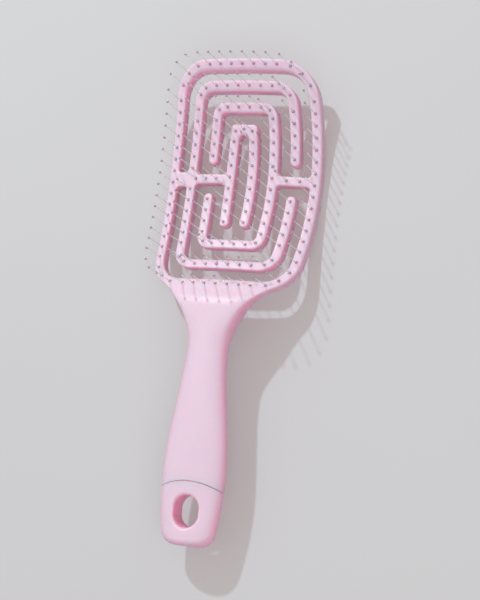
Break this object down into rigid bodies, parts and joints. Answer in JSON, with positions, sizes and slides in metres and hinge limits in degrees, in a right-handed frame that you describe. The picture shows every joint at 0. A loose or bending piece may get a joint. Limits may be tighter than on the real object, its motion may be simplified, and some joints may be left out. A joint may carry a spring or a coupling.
{
  "type": "detangling brush",
  "caption": "Vented detangling hair brush: a curved open head of winding rails with flexible ball-tipped pins, a waisted handle, and an end cap with a hanging hole.",
  "frame": {"origin": "bottom centre of the brush's box as it lies on its back, pins up", "axes": "+X across the head to the right when the pins face the viewer and the head is up, +Y from the handle's end to the top of the head, +Z along the pins, away from the back"},
  "size_m": [0.0798, 0.2364, 0.0449],
  "materials": {
    "body_plastic": "satin",
    "cap_plastic": "satin",
    "pin_nylon": "translucent"
  },
  "bodies": {
    "root": {"frame": "body_plastic", "back_cover": "body_plastic", "end_cap": "cap_plastic", "pin_strip_rim_left": "pin_nylon", "pin_strip_rim_top": "pin_nylon", "pin_strip_rim_right": "pin_nylon", "pin_strip_rim_bottom": "pin_nylon", "pin_strip_upper_arm_left": "pin_nylon", "pin_strip_upper_arm_top": "pin_nylon", "pin_strip_upper_arm_right": "pin_nylon", "pin_strip_lower_arm_left": "pin_nylon", "pin_strip_lower_arm_bottom": "pin_nylon", "pin_strip_lower_arm_right": "pin_nylon", "pin_strip_ring_upper_left": "pin_nylon", "pin_strip_ring_top": "pin_nylon", "pin_strip_ring_right": "pin_nylon", "pin_strip_ring_bottom": "pin_nylon", "pin_strip_ring_lower_left": "pin_nylon", "pin_strip_hairpin_left": "pin_nylon", "pin_strip_hairpin_top": "pin_nylon", "pin_strip_hairpin_right": "pin_nylon", "pin_strip_left_bar": "pin_nylon", "pin_strip_right_bar": "pin_nylon"}
  },
  "joints": []
}
